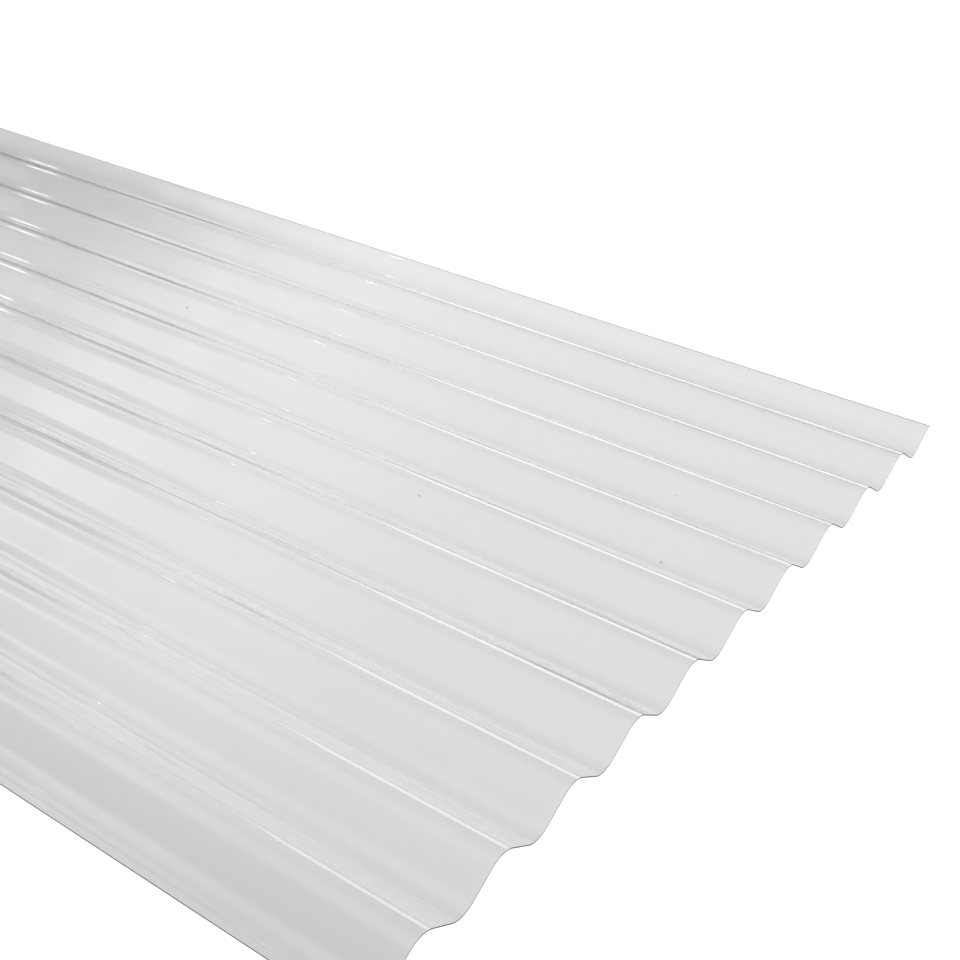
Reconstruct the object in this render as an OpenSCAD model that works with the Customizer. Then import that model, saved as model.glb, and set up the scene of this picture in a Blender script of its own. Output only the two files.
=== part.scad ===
// Corrugated roofing sheet of clear plastic, formed in one piece.
// X runs along the waves, Y across them, and Z is up.
// The origin is on the floor, under the middle of the sheet.

/* [Sheet] */
// Length along the waves, from cut end to cut end
sheet_length = 2000; // [500:10:6000]
// Width across the waves, from long edge to long edge
sheet_width = 810; // [200:1:1300]
// Thickness, measured square to the faces
sheet_thickness = 0.8; // [0.5:0.1:3]

/* [Waves] */
// Pitch from one crest to the next
wave_pitch = 76; // [64:1:150]
// Depth from a crest to a valley of the same face
wave_depth = 18; // [8:1:36]
// Bend radius at mid-thickness, the same at crests and valleys
bend_radius = 18; // [4:1:24]
// Distance by which the +Y long edge stops short of its crest
crest_past_edge = 5; // [0:1:38]
// Flat facets round each bend, an even number so that one corner is the apex
bend_facets = 10; // [4:2:24]

/* [Hidden] */

half_pitch = wave_pitch / 2;
mid_height = (wave_depth + sheet_thickness) / 2;

// A straight flank is the inner tangent of a crest's bend and the next valley's bend,
// whose centres lie half a pitch apart across the sheet and centre_rise apart in height
centre_rise = 2 * bend_radius - wave_depth;
centre_gap = norm([half_pitch, centre_rise]);
flank_angle = asin(2 * bend_radius / centre_gap) - atan2(centre_rise, half_pitch);

// Bends alternate crest and valley, from the crest past the +Y edge to one past the -Y edge
first_crest = sheet_width / 2 + crest_past_edge;
bend_count = ceil((sheet_width + crest_past_edge) / half_pitch) + 2;

// Points of one bend on the upper face (side = 1) or the lower face (side = -1), towards -Y
function bend_points(index, side) =
    let (
        up = index % 2 == 0 ? 1 : -1,
        centre = [first_crest - index * half_pitch, up * (wave_depth / 2 - bend_radius)],
        radius = bend_radius + up * side * sheet_thickness / 2
    )
    [
        for (step = [0 : bend_facets])
            let (angle = flank_angle * (1 - 2 * step / bend_facets))
            centre + radius * [sin(angle), up * cos(angle)]
    ];

// All the points of one face, in the order of its bends
function face_points(side) = [for (index = [0 : bend_count - 1]) each bend_points(index, side)];

function reversed(list) = [for (i = [len(list) - 1 : -1 : 0]) list[i]];

// Section across the waves, with its long edges cut upright at the sheet's width
module sheet_section() {
    intersection() {
        polygon(concat(face_points(1), reversed(face_points(-1))));
        square([sheet_width, 4 * mid_height], center = true);
    }
}

module corrugated_sheet() {
    color([0.82, 0.88, 0.90, 0.45])
    translate([0, 0, mid_height])
    rotate([90, 0, 90])
    linear_extrude(height = sheet_length, center = true) {
        sheet_section();
    }
}

corrugated_sheet();
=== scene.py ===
import bpy
import math
from mathutils import Matrix, Vector


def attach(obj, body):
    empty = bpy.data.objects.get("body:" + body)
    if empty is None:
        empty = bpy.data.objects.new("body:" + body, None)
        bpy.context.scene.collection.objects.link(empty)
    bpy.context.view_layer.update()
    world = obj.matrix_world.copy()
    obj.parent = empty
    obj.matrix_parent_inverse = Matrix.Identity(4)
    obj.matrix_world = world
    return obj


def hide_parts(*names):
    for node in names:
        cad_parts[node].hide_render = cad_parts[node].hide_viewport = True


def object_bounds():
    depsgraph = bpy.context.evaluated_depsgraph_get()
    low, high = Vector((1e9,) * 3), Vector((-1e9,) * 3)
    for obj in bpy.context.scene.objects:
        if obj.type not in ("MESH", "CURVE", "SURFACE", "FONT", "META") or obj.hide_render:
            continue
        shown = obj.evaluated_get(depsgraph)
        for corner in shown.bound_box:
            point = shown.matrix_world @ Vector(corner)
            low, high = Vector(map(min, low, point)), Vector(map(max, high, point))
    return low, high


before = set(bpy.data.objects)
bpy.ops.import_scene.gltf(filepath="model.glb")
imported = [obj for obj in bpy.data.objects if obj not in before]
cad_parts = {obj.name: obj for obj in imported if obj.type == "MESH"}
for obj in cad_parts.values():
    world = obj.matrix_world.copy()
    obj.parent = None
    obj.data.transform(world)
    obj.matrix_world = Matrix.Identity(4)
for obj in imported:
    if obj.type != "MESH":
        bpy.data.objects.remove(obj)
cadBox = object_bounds()
low, high = Vector(cadBox[0]), Vector(cadBox[1])
print("frame loaded, box", [round(v, 4) for v in (*low, *high)])


noiseSpan = (0.35, 0.65)  # where most of a noise's values lie


# small helpers for node trees
def addNode(tree, kind, **settings):
    node = tree.nodes.new(kind)
    for name, value in settings.items():
        setattr(node, name, value)
    return node


def feed(tree, socket, value):  # a socket is linked, anything else becomes the input's own value
    if isinstance(value, bpy.types.NodeSocket):
        tree.links.new(value, socket)
    else:
        socket.default_value = value


def maths(tree, operation, *values):
    node = addNode(tree, "ShaderNodeMath", operation=operation)
    for socket, value in zip(node.inputs, values):
        feed(tree, socket, value)
    return node.outputs[0]


def smooth(tree, value, start, end, lowest=0.0, highest=1.0):  # eased step from lowest to highest
    node = addNode(tree, "ShaderNodeMapRange", interpolation_type="SMOOTHSTEP")
    for name, given in (("Value", value), ("From Min", start), ("From Max", end),
                        ("To Min", lowest), ("To Max", highest)):
        feed(tree, node.inputs[name], given)
    return node.outputs["Result"]


def joined(tree, x, y, z):
    node = addNode(tree, "ShaderNodeCombineXYZ")
    for socket, value in zip(node.inputs, (x, y, z)):
        feed(tree, socket, value)
    return node.outputs[0]


def noise(tree, place, scale=1.0, detail=2.0, roughness=0.5, seed=None):
    node = addNode(tree, "ShaderNodeTexNoise")
    if seed is not None:
        node.noise_dimensions = "4D"
        feed(tree, node.inputs["W"], seed)
    tree.links.new(place, node.inputs["Vector"])
    node.inputs["Scale"].default_value = scale
    node.inputs["Detail"].default_value = detail
    node.inputs["Roughness"].default_value = roughness
    return node.outputs[0]


def mixed(tree, share, first, second):  # colours, from first at 0 to second at 1
    node = addNode(tree, "ShaderNodeMix", data_type="RGBA")
    tree.links.new(share, node.inputs["Factor"])
    for name, colour in (("A", first), ("B", second)):
        feed(tree, node.inputs[name], colour)
    return node.outputs["Result"]


# the sheet
sheet = {
    "pitch": 0.076,
    "depth": 0.018,                # crest to valley of one face
    "bendRadius": 0.018,           # at mid-thickness
    "thickness": 0.0008,
    "crestPastEdge": 0.005,        # the +Y edge stops this far short of its crest
    "stepsPerHalfWave": 24,
    "stepsAlong": 66,
    "endRow": 0.0012,              # the last row of faces beside each cut end
    "weld": 0.000002,              # joins the faces to the cut ends
    "formingSpread": 0.035,        # share of the depth that the forming lets vary
    "formingPatches": (2.2, 6.0),  # how many in a metre, along and across
    "seed": 4.0,
}


def waveSizes(s):
    half, r = s["pitch"] / 2, s["bendRadius"]
    rise = 2 * r - s["depth"]
    gap = math.hypot(half, rise)
    angle = math.asin(2 * r / gap) - math.atan2(rise, half)
    flank = math.sqrt(gap ** 2 - 4 * r ** 2)
    return {"angle": angle, "flank": flank, "arc": r * angle, "step": 2 * r * angle + flank}


def distanceAt(s, run):  # run is the distance across the sheet from the first crest
    w, r, half = waveSizes(s), s["bendRadius"], s["pitch"] / 2
    whole = math.floor(run / half)
    left = run - whole * half
    bend, straight = r * math.sin(w["angle"]), w["flank"] * math.cos(w["angle"])
    if left <= bend:
        inside = r * math.asin(left / r)
    elif left <= bend + straight:
        inside = w["arc"] + (left - bend) / math.cos(w["angle"])
    else:
        turn = math.sin(w["angle"]) - (left - bend - straight) / r
        inside = w["arc"] + w["flank"] + r * (w["angle"] - math.asin(turn))
    return whole * w["step"] + inside  # along the section


sectionInputs = ["Pitch", "Depth", "Bend Radius", "Thickness", "Crest Past Edge", "Width"]


def sectionGroup():
    tree = bpy.data.node_groups.new("wave section", "GeometryNodeTree")
    for name in ["Distance", "Face", "Depth Share", "Along"] + sectionInputs:
        tree.interface.new_socket(name=name, in_out="INPUT", socket_type="NodeSocketFloat")
    tree.interface.new_socket(name="Place", in_out="OUTPUT", socket_type="NodeSocketVector")
    given = addNode(tree, "NodeGroupInput").outputs

    def m(operation, *values):
        return maths(tree, operation, *values)

    r, half = given["Bend Radius"], m("MULTIPLY", given["Pitch"], 0.5)
    rise = m("SUBTRACT", m("MULTIPLY", r, 2.0), given["Depth"])
    gap = m("SQRT", m("ADD", m("MULTIPLY", half, half), m("MULTIPLY", rise, rise)))
    twoR = m("MULTIPLY", r, 2.0)
    angle = m("SUBTRACT", m("ARCSINE", m("DIVIDE", twoR, gap)), m("ARCTAN2", rise, half))
    flank = m("SQRT", m("SUBTRACT", m("MULTIPLY", gap, gap), m("MULTIPLY", twoR, twoR)))
    arc = m("MULTIPLY", r, angle)
    step = m("ADD", m("MULTIPLY", arc, 2.0), flank)

    # each half wave is a bend, a flank and a bend the other way
    index = m("FLOOR", m("DIVIDE", given["Distance"], step))
    left = m("SUBTRACT", given["Distance"], m("MULTIPLY", index, step))
    turnA = m("DIVIDE", m("MINIMUM", left, arc), r)
    along = m("MAXIMUM", m("MINIMUM", m("SUBTRACT", left, arc), flank), 0.0)
    turnB = m("DIVIDE", m("MAXIMUM", m("SUBTRACT", m("SUBTRACT", left, arc), flank), 0.0), r)
    after = m("SUBTRACT", angle, turnB)
    # how far across and down it has come from the half wave's start
    run = m("ADD", m("MULTIPLY", r, m("SINE", turnA)), m("MULTIPLY", along, m("COSINE", angle)))
    run = m("ADD", run, m("MULTIPLY", r, m("SUBTRACT", m("SINE", angle), m("SINE", after))))
    drop = m("MULTIPLY", r, m("SUBTRACT", 1.0, m("COSINE", turnA)))
    drop = m("ADD", drop, m("MULTIPLY", along, m("SINE", angle)))
    drop = m("ADD", drop, m("MULTIPLY", r, m("SUBTRACT", m("COSINE", after), m("COSINE", angle))))
    tilt = m("SUBTRACT", turnA, turnB)
    # 1 going down from a crest, -1 going up from a valley
    side = m("SUBTRACT", 1.0, m("MULTIPLY", m("FLOORED_MODULO", index, 2.0), 2.0))

    firstCrest = m("ADD", m("MULTIPLY", given["Width"], 0.5), given["Crest Past Edge"])
    midY = m("SUBTRACT", m("SUBTRACT", firstCrest, m("MULTIPLY", index, half)), run)
    midZ = m("MULTIPLY", side, m("SUBTRACT", m("MULTIPLY", given["Depth"], 0.5), drop))
    midZ = m("MULTIPLY", midZ, given["Depth Share"])
    out = m("MULTIPLY", given["Face"], m("MULTIPLY", given["Thickness"], 0.5))
    faceY = m("SUBTRACT", midY, m("MULTIPLY", out, m("MULTIPLY", side, m("SINE", tilt))))
    faceZ = m("ADD", midZ, m("MULTIPLY", out, m("COSINE", tilt)))
    # the long edges are cut upright: what runs past them slides back along its own slope
    edge = m("MULTIPLY", given["Width"], 0.5)
    y = m("MAXIMUM", m("MINIMUM", faceY, edge), m("MULTIPLY", edge, -1.0))
    slope = m("MULTIPLY", m("MULTIPLY", side, m("TANGENT", tilt)), given["Depth Share"])
    z = m("MULTIPLY_ADD", m("SUBTRACT", y, faceY), slope, faceZ)
    floorUp = m("MULTIPLY", m("ADD", given["Depth"], given["Thickness"]), 0.5)
    result = addNode(tree, "NodeGroupOutput")
    tree.links.new(joined(tree, given["Along"], y, m("ADD", z, floorUp)), result.inputs[0])
    return tree


sheetInputs = ["Length", "First Distance", "Last Distance", "Step", "End Row", "Row Stretch",
               "Weld", "Forming Spread", "Patches Along", "Patches Across", "Seed"]


def gridPlace(tree):  # 0 to 1 both ways over a unit grid
    split = addNode(tree, "ShaderNodeSeparateXYZ")
    tree.links.new(addNode(tree, "GeometryNodeInputPosition").outputs[0], split.inputs[0])
    return [maths(tree, "ADD", output, 0.5) for output in split.outputs[:2]]


def unitGrid(tree, verticesX, verticesY):
    node = addNode(tree, "GeometryNodeMeshGrid")
    node.inputs["Size X"].default_value = 1.0
    node.inputs["Size Y"].default_value = 1.0
    feed(tree, node.inputs["Vertices X"], verticesX)
    feed(tree, node.inputs["Vertices Y"], verticesY)
    return node.outputs["Mesh"]


def flipped(tree, mesh):
    node = addNode(tree, "GeometryNodeFlipFaces")
    tree.links.new(mesh, node.inputs["Mesh"])
    return node.outputs[0]


def formedShare(tree, given, along, distance):  # how much of its full depth the wave has here
    x = maths(tree, "MULTIPLY", along, given["Patches Along"])
    y = maths(tree, "MULTIPLY", distance, given["Patches Across"])
    patches = noise(tree, joined(tree, x, y, 0.0), seed=given["Seed"])
    return maths(tree, "SUBTRACT", 1.0, maths(tree, "MULTIPLY", patches, given["Forming Spread"]))


def placed(tree, given, section, mesh, column, face, along):  # a grid's points, on the section
    distance = maths(tree, "MULTIPLY", column, given["Step"])
    distance = maths(tree, "MAXIMUM", distance, given["First Distance"])
    distance = maths(tree, "MINIMUM", distance, given["Last Distance"])
    values = {name: given[name] for name in sectionInputs}
    values["Distance"] = distance
    values["Face"] = face
    values["Along"] = along
    values["Depth Share"] = formedShare(tree, given, along, distance)
    call = addNode(tree, "GeometryNodeGroup", node_tree=section)
    for name, value in values.items():
        feed(tree, call.inputs[name], value)
    move = addNode(tree, "GeometryNodeSetPosition")
    tree.links.new(mesh, move.inputs["Geometry"])
    tree.links.new(call.outputs[0], move.inputs["Position"])
    return move.outputs[0]


def skin(tree, given, section):  # both faces and both long edges are one grid wrapped round
    def m(operation, *values):
        return maths(tree, operation, *values)

    lengthwise, around = gridPlace(tree)
    columns = given["Columns"]
    twice = m("MULTIPLY", columns, 2.0)
    place = m("ROUND", m("MULTIPLY", around, twice))
    place = m("FLOORED_MODULO", place, twice)
    column = m("MINIMUM", place, m("SUBTRACT", m("SUBTRACT", twice, 1.0), place))
    onTop = m("LESS_THAN", place, m("SUBTRACT", columns, 0.5))
    face = m("SUBTRACT", m("MULTIPLY", onTop, 2.0), 1.0)
    end = m("MULTIPLY", given["Length"], 0.5)
    inner = m("MULTIPLY", m("SUBTRACT", end, given["End Row"]), given["Row Stretch"])
    along = m("MULTIPLY", m("SUBTRACT", lengthwise, 0.5), inner)
    along = m("MAXIMUM", m("MINIMUM", along, end), m("MULTIPLY", end, -1.0))
    grid = unitGrid(tree, given["Rows"], m("ADD", twice, 1.0))
    return flipped(tree, placed(tree, given, section, grid, column, face, along))


def cutEnd(tree, given, section, end):  # a strip one face deep, at +X for 1 and -X for -1
    upright, sideways = gridPlace(tree)
    lastColumn = maths(tree, "SUBTRACT", given["Columns"], 1.0)
    column = maths(tree, "ROUND", maths(tree, "MULTIPLY", sideways, lastColumn))
    face = maths(tree, "SUBTRACT", maths(tree, "MULTIPLY", upright, 2.0), 1.0)
    along = maths(tree, "MULTIPLY", given["Length"], end / 2)
    grid = unitGrid(tree, 2, given["Columns"])
    strip = placed(tree, given, section, grid, column, face, along)
    return strip if end > 0 else flipped(tree, strip)


def sheetTree(material):
    section = sectionGroup()
    tree = bpy.data.node_groups.new("corrugated sheet", "GeometryNodeTree")
    for name in sectionInputs + sheetInputs:
        tree.interface.new_socket(name=name, in_out="INPUT", socket_type="NodeSocketFloat")
    for name in ("Columns", "Rows"):
        tree.interface.new_socket(name=name, in_out="INPUT", socket_type="NodeSocketInt")
    tree.interface.new_socket(name="Geometry", in_out="OUTPUT", socket_type="NodeSocketGeometry")
    given = addNode(tree, "NodeGroupInput").outputs
    parts = [skin(tree, given, section)]
    for end in (1, -1):
        parts.append(cutEnd(tree, given, section, end))
    whole = addNode(tree, "GeometryNodeJoinGeometry")
    for part in parts:
        tree.links.new(part, whole.inputs[0])
    merge = addNode(tree, "GeometryNodeMergeByDistance")
    tree.links.new(given["Weld"], merge.inputs["Distance"])
    tree.links.new(whole.outputs[0], merge.inputs["Geometry"])
    real = addNode(tree, "GeometryNodeRealizeInstances")
    tree.links.new(merge.outputs[0], real.inputs[0])
    paint = addNode(tree, "GeometryNodeSetMaterial")
    paint.inputs["Material"].default_value = material
    tree.links.new(real.outputs[0], paint.inputs["Geometry"])
    tree.links.new(paint.outputs[0], addNode(tree, "NodeGroupOutput").inputs[0])
    return tree


def sheetValues():
    width = high.y - low.y
    step = waveSizes(sheet)["step"] / sheet["stepsPerHalfWave"]
    # both a little past the long edges, where the section is cut back
    first = distanceAt(sheet, sheet["crestPastEdge"]) - sheet["thickness"]
    last = distanceAt(sheet, sheet["crestPastEdge"] + width) + sheet["thickness"]
    patchesAlong, patchesAcross = sheet["formingPatches"]
    return {
        "Pitch": sheet["pitch"],
        "Depth": sheet["depth"],
        "Bend Radius": sheet["bendRadius"],
        "Thickness": sheet["thickness"],
        "Crest Past Edge": sheet["crestPastEdge"],
        "Width": width,
        "Length": high.x - low.x,
        "First Distance": first,
        "Last Distance": last,
        "Step": step,
        "End Row": sheet["endRow"],
        "Row Stretch": 2 * sheet["stepsAlong"] / (sheet["stepsAlong"] - 2),
        "Weld": sheet["weld"],
        "Forming Spread": sheet["formingSpread"],
        "Patches Along": patchesAlong,
        "Patches Across": patchesAcross,
        "Seed": sheet["seed"],
        "Columns": math.ceil(last / step) + 1,
        "Rows": sheet["stepsAlong"] + 1,
    }


def treeMesh(tree, values):  # what the tree makes, as a plain mesh
    holder = bpy.data.objects.new("sheetHolder", bpy.data.meshes.new("sheetHolder"))
    bpy.context.scene.collection.objects.link(holder)
    modifier = holder.modifiers.new("sheet", "NODES")
    modifier.node_group = tree
    for item in tree.interface.items_tree:
        if item.in_out == "INPUT":
            modifier[item.identifier] = values[item.name]
    ready = holder.evaluated_get(bpy.context.evaluated_depsgraph_get())
    mesh = bpy.data.meshes.new_from_object(ready)
    holder.modifiers.remove(modifier)
    bpy.data.objects.remove(holder)
    return mesh


def markCuts(mesh):  # the faces are smooth; the cut edges are flat and sawn, with a sharp border
    # the cut edges are upright, and the steepest flank is far from it
    cut = [abs(polygon.normal.z) < 0.3 for polygon in mesh.polygons]
    owners = {}
    for polygon in mesh.polygons:
        polygon.use_smooth = not cut[polygon.index]
        polygon.material_index = int(cut[polygon.index])
        for index in polygon.loop_indices:
            owners.setdefault(mesh.loops[index].edge_index, set()).add(cut[polygon.index])
    for edge in mesh.edges:
        edge.use_edge_sharp = len(owners[edge.index]) > 1


def makeSheet(material, sawnShadedMaterial):
    mesh = treeMesh(sheetTree(material), sheetValues())
    mesh.materials.clear()
    mesh.materials.append(material)
    mesh.materials.append(sawnShadedMaterial)
    markCuts(mesh)
    piece = bpy.data.objects.new("clearSheet", mesh)
    bpy.context.scene.collection.objects.link(piece)
    print("sheet made,", len(mesh.polygons), "faces")
    return piece


# the clear plastic
plastic = {
    "tint": (0.85, 0.85, 0.85),
    "paintedSlantLight": (1.0, 1.0, 1.0),      # painted light: a lighter tint on the slopes that are seen almost edge on
    "slant": (0.55, 0.75),             # where one gives way to the other, 0 face on and 1 edge on
    "shadowTint": (0.94, 0.94, 0.94),  # what it lets through to the floor
    "ior": 1.585,
    "roughness": (0.02, 0.055),        # clean and hazy
    "hazePatches": 5.0,                # how many in a metre
    "hazeSpread": (0.38, 0.66),        # share of the noise at which the haze starts and is full
    "dieLines": 620.0,                 # fine lines across a metre, running along the waves
    "dieLineBreaks": 3.0,              # how often they fade in a metre
    "dieLineDepth": 0.000006,
    "ripple": (9.0, 30.0, 8.0),        # slow unevenness along, across and up
    "rippleDepth": 0.00011,
    "scuffs": 34.0,                    # cells in a metre, whose edges are the scuffs
    "scuffStretch": 4.0,
    "scuffLean": 0.18,                 # radians off the waves' direction
    "scuffWidth": 0.02,
    "scuffPatches": 11.0,
    "scuffSpread": (0.58, 0.70),
    "scuffRoughness": 0.2,
    "dustCells": 26.0,                 # in a metre in each direction
    "dustShare": 0.4,                  # of the cells that hold a speck
    "dustSize": (0.021, 0.035),        # shares of a cell: its solid middle and its soft edge
    "dustRoughness": 0.4,
    "dustColour": (0.42, 0.41, 0.39),
}


def stretched(tree, place, x, y, z, lean=0.0):
    node = addNode(tree, "ShaderNodeMapping")
    tree.links.new(place, node.inputs["Vector"])
    node.inputs["Rotation"].default_value = (0.0, 0.0, lean)
    node.inputs["Scale"].default_value = (x, y, z)
    return node.outputs[0]


def unevenness(tree, place):  # fine lines from the die and slow ripples, as a height
    dies = plastic["dieLines"]
    lines = stretched(tree, place, plastic["dieLineBreaks"], dies, dies)
    lines = noise(tree, lines, detail=1.0, roughness=0.6)
    ripple = noise(tree, stretched(tree, place, *plastic["ripple"]), detail=0.0)
    height = maths(tree, "MULTIPLY", lines, plastic["dieLineDepth"])
    return maths(tree, "MULTIPLY_ADD", ripple, plastic["rippleDepth"], height)


def scuffMarks(tree, place):  # thin stretched cell edges, kept to a few patches
    leaning = stretched(tree, place, 1.0 / plastic["scuffStretch"], 1.0, 1.0, plastic["scuffLean"])
    cells = addNode(tree, "ShaderNodeTexVoronoi", feature="DISTANCE_TO_EDGE")
    tree.links.new(leaning, cells.inputs["Vector"])
    cells.inputs["Scale"].default_value = plastic["scuffs"]
    marks = smooth(tree, cells.outputs["Distance"], 0.0, plastic["scuffWidth"], 1.0, 0.0)
    patches = noise(tree, place, plastic["scuffPatches"], detail=1.0)
    return maths(tree, "MULTIPLY", marks, smooth(tree, patches, *plastic["scuffSpread"]))


def dustSpecks(tree, place):
    cells = addNode(tree, "ShaderNodeTexVoronoi", feature="F1")
    tree.links.new(place, cells.inputs["Vector"])
    cells.inputs["Scale"].default_value = plastic["dustCells"]
    specks = smooth(tree, cells.outputs["Distance"], *plastic["dustSize"], 1.0, 0.0)
    pick = addNode(tree, "ShaderNodeSeparateColor")
    tree.links.new(cells.outputs["Color"], pick.inputs[0])
    kept = maths(tree, "GREATER_THAN", pick.outputs[0], 1.0 - plastic["dustShare"])
    return maths(tree, "MULTIPLY", specks, kept)


def makePlastic():
    material = bpy.data.materials.new("clearPolycarbonate")
    material.use_nodes = True
    tree = material.node_tree
    tree.nodes.clear()
    place = addNode(tree, "ShaderNodeTexCoord").outputs["Object"]
    dust = dustSpecks(tree, place)
    # painted light: the tint turns lighter on the slopes that are seen almost edge on
    facing = addNode(tree, "ShaderNodeLayerWeight").outputs["Facing"]
    slant = smooth(tree, facing, *plastic["slant"])
    tint = mixed(tree, slant, (*plastic["tint"], 1.0), (*plastic["paintedSlantLight"], 1.0))
    colour = mixed(tree, dust, tint, (*plastic["dustColour"], 1.0))

    haze = smooth(tree, noise(tree, place, plastic["hazePatches"]), *plastic["hazeSpread"])
    clean, hazy = plastic["roughness"]
    rough = maths(tree, "MULTIPLY_ADD", haze, hazy - clean, clean)
    scuffs = scuffMarks(tree, place)
    rough = maths(tree, "MULTIPLY_ADD", scuffs, plastic["scuffRoughness"], rough)
    rough = maths(tree, "MULTIPLY_ADD", dust, plastic["dustRoughness"], rough)
    bump = addNode(tree, "ShaderNodeBump")
    bump.inputs["Distance"].default_value = 1.0
    tree.links.new(unevenness(tree, place), bump.inputs["Height"])

    body = addNode(tree, "ShaderNodeBsdfPrincipled")
    tree.links.new(colour, body.inputs["Base Color"])
    tree.links.new(rough, body.inputs["Roughness"])
    tree.links.new(bump.outputs[0], body.inputs["Normal"])
    body.inputs["IOR"].default_value = plastic["ior"]
    body.inputs["Transmission Weight"].default_value = 1.0
    # light on its way to the floor goes straight through
    clear = addNode(tree, "ShaderNodeBsdfTransparent")
    clear.inputs[0].default_value = (*plastic["shadowTint"], 1.0)
    path = addNode(tree, "ShaderNodeLightPath").outputs
    mix = addNode(tree, "ShaderNodeMixShader")
    straight = maths(tree, "MAXIMUM", path["Is Shadow Ray"], path["Is Diffuse Ray"])
    tree.links.new(straight, mix.inputs[0])
    tree.links.new(body.outputs[0], mix.inputs[1])
    tree.links.new(clear.outputs[0], mix.inputs[2])
    tree.links.new(mix.outputs[0], addNode(tree, "ShaderNodeOutputMaterial").inputs["Surface"])
    print("clear plastic made")
    return material


# the sawn ends and long edges, with saw marks, painted near black as painted shade for how dark the
# clear edges look
sawnShadedEdge = {
    "colours": ((0.02, 0.023, 0.023), (0.06, 0.063, 0.063)),
    "roughness": (0.4, 0.62),
    "marks": 900.0,  # saw marks in a metre
    "markDepth": 0.00002,
}


def makeSawnShadedEdge():
    material = bpy.data.materials.new("sawnPolycarbonatePaintedShade")
    material.use_nodes = True
    tree = material.node_tree
    tree.nodes.clear()
    place = addNode(tree, "ShaderNodeTexCoord").outputs["Object"]
    marks = noise(tree, place, sawnShadedEdge["marks"])
    share = smooth(tree, marks, *noiseSpan)
    # painted shade: these near-black colours stand for the dark that the clear cut edges show
    darkest, lightest = sawnShadedEdge["colours"]
    colour = mixed(tree, share, (*darkest, 1.0), (*lightest, 1.0))
    bump = addNode(tree, "ShaderNodeBump")
    bump.inputs["Distance"].default_value = 1.0
    height = maths(tree, "MULTIPLY", marks, sawnShadedEdge["markDepth"])
    tree.links.new(height, bump.inputs["Height"])
    smoothest, roughest = sawnShadedEdge["roughness"]
    rough = maths(tree, "MULTIPLY_ADD", share, roughest - smoothest, smoothest)
    body = addNode(tree, "ShaderNodeBsdfPrincipled")
    tree.links.new(colour, body.inputs["Base Color"])
    tree.links.new(rough, body.inputs["Roughness"])
    tree.links.new(bump.outputs[0], body.inputs["Normal"])
    body.inputs["IOR"].default_value = plastic["ior"]
    tree.links.new(body.outputs[0], addNode(tree, "ShaderNodeOutputMaterial").inputs["Surface"])
    print("sawn plastic made")
    return material


clearSheet = makeSheet(makePlastic(), makeSawnShadedEdge())
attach(clearSheet, "root")
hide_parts("corrugated_sheet")


# the floor
floorFinish = {
    "size": 16.0,
    "below": 0.0002,               # keeps it clear of the sheet
    "colour": (0.8, 0.8, 0.8),
    "cameraLift": 0.57,            # brings the plain floor up to white
    "paintedThroughLight": (0.05, 0.2),    # painted light and shade: the floor's glow where it is seen through or in the plastic, least and most
    "paintedShadeFade": (-0.59, 0.06),  # painted shade: from least to most along the sheet, dim towards the far-left corner
    "paintedShadeSlant": 1.2,           # that fade comes later on the far side
    "paintedShadeBehind": (0.36, 0.5),         # painted shade: from most to least past the far long edge
    "before": (-0.43, -0.27),      # painted shade under the near long edge, from the lower lift below up to most
    "paintedShadeBeforeLift": 0.1,
}


def makeFloor():
    mesh = bpy.data.meshes.new("floor")
    half = floorFinish["size"] / 2
    z = low.z - floorFinish["below"]
    corners = [(half * x, half * y, z) for x, y in ((-1, -1), (1, -1), (1, 1), (-1, 1))]
    mesh.from_pydata(corners, [], [range(len(corners))])
    piece = bpy.data.objects.new("floor", mesh)
    bpy.context.scene.collection.objects.link(piece)
    material = bpy.data.materials.new("paleFloor")
    material.use_nodes = True
    tree = material.node_tree
    tree.nodes.clear()
    matt = addNode(tree, "ShaderNodeBsdfDiffuse")
    matt.inputs["Color"].default_value = (*floorFinish["colour"], 1.0)
    glow = addNode(tree, "ShaderNodeEmission")
    path = addNode(tree, "ShaderNodeLightPath").outputs
    seen = maths(tree, "MAXIMUM", path["Is Glossy Ray"], path["Is Transmission Ray"])
    place = addNode(tree, "ShaderNodeSeparateXYZ")
    tree.links.new(addNode(tree, "ShaderNodeTexCoord").outputs["Object"], place.inputs[0])
    x, y = place.outputs[:2]
    # the glow seen in the plastic is painted shade: dimmer towards the far-left corner, past the
    # far long edge and under the near one
    slanted = maths(tree, "MULTIPLY_ADD", y, -floorFinish["paintedShadeSlant"], x)
    least, most = floorFinish["paintedThroughLight"]
    most = smooth(tree, y, *floorFinish["paintedShadeBehind"], most, least)
    most = smooth(tree, y, *floorFinish["before"], floorFinish["paintedShadeBeforeLift"], most)
    lift = smooth(tree, slanted, *floorFinish["paintedShadeFade"], least, most)
    through = maths(tree, "MULTIPLY", seen, lift)
    direct = maths(tree, "MULTIPLY", path["Is Camera Ray"], floorFinish["cameraLift"])
    tree.links.new(maths(tree, "ADD", through, direct), glow.inputs["Strength"])
    both = addNode(tree, "ShaderNodeAddShader")
    tree.links.new(matt.outputs[0], both.inputs[0])
    tree.links.new(glow.outputs[0], both.inputs[1])
    tree.links.new(both.outputs[0], addNode(tree, "ShaderNodeOutputMaterial").inputs["Surface"])
    mesh.materials.append(material)
    print("floor made")


makeFloor()


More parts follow.
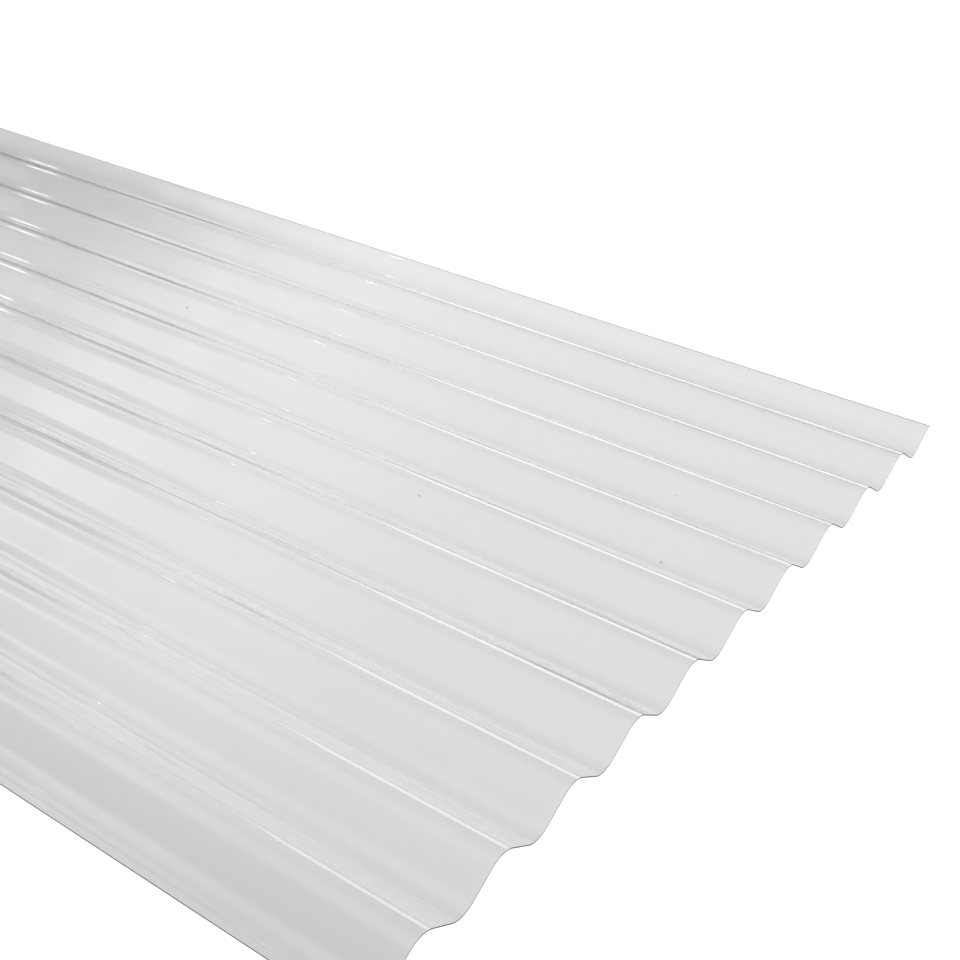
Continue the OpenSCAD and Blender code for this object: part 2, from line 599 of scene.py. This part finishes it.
# the light: an even world, a softbox, and a room for the plastic to mirror
# sideways is the x part of a direction, and away is its y part over its z part;
# a pair of either is a soft edge, from its start to its end
room = {
    "ambient": 0.55,                  # lights all but the plastic
    "ceiling": (1.45, 1.0),           # levels of its left part and the rest
    "ceilingTurn": (-0.60, -0.48),    # sideways, from one to the other
    "ceilingLeft": (-0.71, -0.585),
    "ceilingLean": 0.35,              # how much that edge leans on the near side
    "ceilingNear": (-0.75, -0.3),     # away
    "ceilingFar": (-0.12, 1.2),
    "walls": (1.1, 0.5),              # as the ceiling's
    "wallsTurn": (-0.60, -0.38),
    "wallsLeft": (-0.755, -0.71),
    "wallsLean": 0.085,               # how much that edge leans right as it goes down
    "wallsLeanSpan": (1.3, 2.2),      # away, where it leans
    "wallsDark": (0.05, 0.35),        # levels left of that edge, high up and low down
    "wallsDarkSpan": (2.2, 5.0),
    "wallsNear": (-0.85, -0.35),      # nothing is lit on the near side of this
    "wallsTop": (0.5, 1.05),          # the walls are dim close to the ceiling
    "wallsTopShare": 0.2,
    "blotches": (34.0, 5.0),          # how fine they are, sideways and away
    "blotchDepth": 0.4,
    "blotchesEnd": (-0.71, -0.61),    # sideways, they are left of this
    "lampSideways": (-0.7565, -0.7415),
    "lampAway": (0.42, 0.85),
    "lampSoft": (0.004, 0.001, 0.1),  # on its left, on its right, and at both ends away
    "lampLevel": 3.2,
}


def ceilingShare(tree, sideways, away):  # 1 where the ceiling is, 0 past its edges
    near = maths(tree, "MINIMUM", away, 0.0)
    leaning = maths(tree, "MULTIPLY_ADD", near, -room["ceilingLean"], sideways)
    share = smooth(tree, leaning, *room["ceilingLeft"])
    share = maths(tree, "MULTIPLY", share, smooth(tree, away, *room["ceilingNear"]))
    return maths(tree, "MULTIPLY", share, smooth(tree, away, *room["ceilingFar"], 1.0, 0.0))


def wallsLevel(tree, sideways, away):
    lit = smooth(tree, sideways, *room["wallsTurn"], *room["walls"])
    leanStart, leanEnd = room["wallsLeanSpan"]
    far = maths(tree, "MINIMUM", maths(tree, "MAXIMUM", away, leanStart), leanEnd)
    far = maths(tree, "SUBTRACT", far, leanStart)
    leaning = maths(tree, "MULTIPLY_ADD", far, -room["wallsLean"], sideways)
    dark = smooth(tree, away, *room["wallsDarkSpan"], *room["wallsDark"])
    level = smooth(tree, leaning, *room["wallsLeft"], dark, lit)
    level = maths(tree, "MULTIPLY", level, smooth(tree, away, *room["wallsNear"]))
    top = smooth(tree, away, *room["wallsTop"], room["wallsTopShare"], 1.0)
    return maths(tree, "MULTIPLY", level, top)


def blotches(tree, sideways, away):  # the room's left end isn't even
    fine, coarse = room["blotches"]
    x = maths(tree, "MULTIPLY", sideways, fine)
    y = maths(tree, "MULTIPLY", away, coarse)
    depth = room["blotchDepth"]
    patches = noise(tree, joined(tree, x, y, 0.0), detail=1.0)
    patches = smooth(tree, patches, *noiseSpan, -depth, depth)
    return maths(tree, "MULTIPLY", patches, smooth(tree, sideways, *room["blotchesEnd"], 1.0, 0.0))


def smallLamp(tree, sideways, away):  # 1 where the room's own lamp is, at its left end
    left, right = room["lampSideways"]
    start, end = room["lampAway"]
    softLeft, softRight, softEnds = room["lampSoft"]
    lamp = smooth(tree, sideways, left, left + softLeft)
    lamp = maths(tree, "MULTIPLY", lamp, smooth(tree, sideways, right - softRight, right, 1.0, 0.0))
    lamp = maths(tree, "MULTIPLY", lamp, smooth(tree, away, start, start + softEnds))
    return maths(tree, "MULTIPLY", lamp, smooth(tree, away, end - softEnds, end, 1.0, 0.0))


def makeWorld():
    sky = bpy.data.worlds.new("studio")
    bpy.context.scene.world = sky
    sky.use_nodes = True
    tree = sky.node_tree
    tree.nodes.clear()
    ray = addNode(tree, "ShaderNodeSeparateXYZ")
    tree.links.new(addNode(tree, "ShaderNodeTexCoord").outputs["Generated"], ray.inputs[0])
    sideways = ray.outputs[0]
    up = maths(tree, "MAXIMUM", ray.outputs[2], 0.001)  # the floor hides what lies lower
    away = maths(tree, "DIVIDE", ray.outputs[1], up)
    walls = wallsLevel(tree, sideways, away)
    ceiling = smooth(tree, sideways, *room["ceilingTurn"], *room["ceiling"])
    ceiling = maths(tree, "SUBTRACT", ceiling, walls)
    mirrored = maths(tree, "MULTIPLY_ADD", ceilingShare(tree, sideways, away), ceiling, walls)
    mirrored = maths(tree, "ADD", mirrored, blotches(tree, sideways, away))
    mirrored = maths(tree, "MAXIMUM", mirrored, 0.0)
    lamp = smallLamp(tree, sideways, away)
    mirrored = maths(tree, "MULTIPLY_ADD", lamp, room["lampLevel"], mirrored)
    # the room shows in the plastic only: the camera sees a plain backdrop past the floor,
    # and everything else gets the even light
    path = addNode(tree, "ShaderNodeLightPath").outputs
    seen = maths(tree, "MAXIMUM", path["Is Glossy Ray"], path["Is Transmission Ray"])
    level = maths(tree, "MULTIPLY", seen, mirrored)
    level = maths(tree, "ADD", level, path["Is Camera Ray"])
    plain = maths(tree, "SUBTRACT", 1.0, maths(tree, "MAXIMUM", seen, path["Is Camera Ray"]))
    level = maths(tree, "MULTIPLY_ADD", plain, room["ambient"], level)
    back = addNode(tree, "ShaderNodeBackground")
    tree.links.new(level, back.inputs["Strength"])
    tree.links.new(back.outputs[0], addNode(tree, "ShaderNodeOutputWorld").inputs["Surface"])


softbox = {"place": (0.3, 0.8, 2.0), "size": (3.0, 1.6), "power": 37.0}


def makeSoftbox():  # lights the floor from past the far edge; the plastic mirrors the room instead
    data = bpy.data.lights.new("softbox", "AREA")
    data.shape = "RECTANGLE"
    data.size, data.size_y = softbox["size"]
    data.energy = softbox["power"]
    light = bpy.data.objects.new("softbox", data)
    light.location = softbox["place"]
    light.rotation_euler = (-Vector(softbox["place"])).to_track_quat("-Z", "Y").to_euler()
    light.visible_camera = False
    light.visible_glossy = False
    light.visible_transmission = False
    bpy.context.scene.collection.objects.link(light)


card = {
    "low": 0.02,         # height of its bottom edge
    "rise": 0.538,       # it leans back, this much up for each step away
    # corners of its left side, near to far
    "left": ((0.3, 0.5), (0.24, 0.72), (-0.01, 1.16), (-0.88, 2.6)),
    "right": 1.9,
    "strength": 1.5,
    "bottomFade": 0.01,  # share of its height
    "topFade": 0.3,
}


def makeCard():  # a low lit card past the far edge, there for its reflection in the crests
    right, lowZ = card["right"], card["low"]
    nearY, farY = card["left"][0][1], card["left"][-1][1]
    highZ = lowZ + (farY - nearY) * card["rise"]
    outline = [(right, nearY), (right, farY), *reversed(card["left"])]
    corners = [(x, y, lowZ + (y - nearY) * card["rise"]) for x, y in outline]
    mesh = bpy.data.meshes.new("lowCard")
    mesh.from_pydata(corners, [], [range(len(corners))])
    piece = bpy.data.objects.new("lowCard", mesh)
    bpy.context.scene.collection.objects.link(piece)
    material = bpy.data.materials.new("litCard")
    material.use_nodes = True
    tree = material.node_tree
    tree.nodes.clear()
    place = addNode(tree, "ShaderNodeSeparateXYZ")
    tree.links.new(addNode(tree, "ShaderNodeTexCoord").outputs["Object"], place.inputs[0])
    tall = highZ - lowZ
    shown = smooth(tree, place.outputs[2], lowZ, lowZ + tall * card["bottomFade"])
    fade = smooth(tree, place.outputs[2], highZ - tall * card["topFade"], highZ, 1.0, 0.0)
    shown = maths(tree, "MULTIPLY", shown, fade)
    glow = addNode(tree, "ShaderNodeEmission")
    glow.inputs["Strength"].default_value = card["strength"]
    mix = addNode(tree, "ShaderNodeMixShader")
    tree.links.new(shown, mix.inputs[0])
    tree.links.new(addNode(tree, "ShaderNodeBsdfTransparent").outputs[0], mix.inputs[1])
    tree.links.new(glow.outputs[0], mix.inputs[2])
    tree.links.new(mix.outputs[0], addNode(tree, "ShaderNodeOutputMaterial").inputs["Surface"])
    mesh.materials.append(material)
    piece.visible_camera = False
    piece.visible_diffuse = False
    piece.visible_shadow = False


spark = {"place": (-0.45, 0.55, 1.2), "size": 0.035, "strength": 14.0}


def makeSpark():  # a small lamp overhead, seen only as a glint
    data = bpy.data.lights.new("spark", "AREA")
    data.shape = "DISK"
    data.size = spark["size"]
    area = math.pi * spark["size"] ** 2 / 4
    data.energy = spark["strength"] * math.pi * area
    light = bpy.data.objects.new("spark", data)
    light.location = spark["place"]
    light.visible_camera = False
    light.visible_diffuse = False
    bpy.context.scene.collection.objects.link(light)


makeWorld()
makeSoftbox()
makeCard()
makeSpark()
print("light made")


# the camera
view = {
    "lens": 54.25,
    "azimuth": 33.9,
    "elevation": 30.21,
    "roll": 3.22,
    "fromCorner": (0.3159, -1.194, 0.6144),  # from the cut end's +Y corner on the floor
}


def makeCamera():
    data = bpy.data.cameras.new("camera")
    data.lens = view["lens"]
    data.sensor_width = 36.0
    data.clip_start = 0.01
    camera = bpy.data.objects.new("camera", data)
    bpy.context.scene.collection.objects.link(camera)
    a, e, roll = (math.radians(view[k]) for k in ("azimuth", "elevation", "roll"))
    back = Vector((math.sin(a) * math.cos(e), -math.cos(a) * math.cos(e), math.sin(e)))
    right = Vector((0, 0, 1)).cross(back).normalized()
    up = back.cross(right)
    turnedRight = math.cos(roll) * right + math.sin(roll) * up
    turnedUp = math.cos(roll) * up - math.sin(roll) * right
    place = Vector((high.x, high.y, low.z)) + Vector(view["fromCorner"])
    axes = Matrix((turnedRight, turnedUp, back)).transposed().to_4x4()
    camera.matrix_world = Matrix.Translation(place) @ axes
    bpy.context.scene.camera = camera


makeCamera()
bpy.context.scene.view_settings.view_transform = "Standard"
lightBounces = 32  # light runs a long way between the waves
for kind in ("max_bounces", "glossy_bounces", "transmission_bounces"):
    setattr(bpy.context.scene.cycles, kind, lightBounces)
print("camera placed")
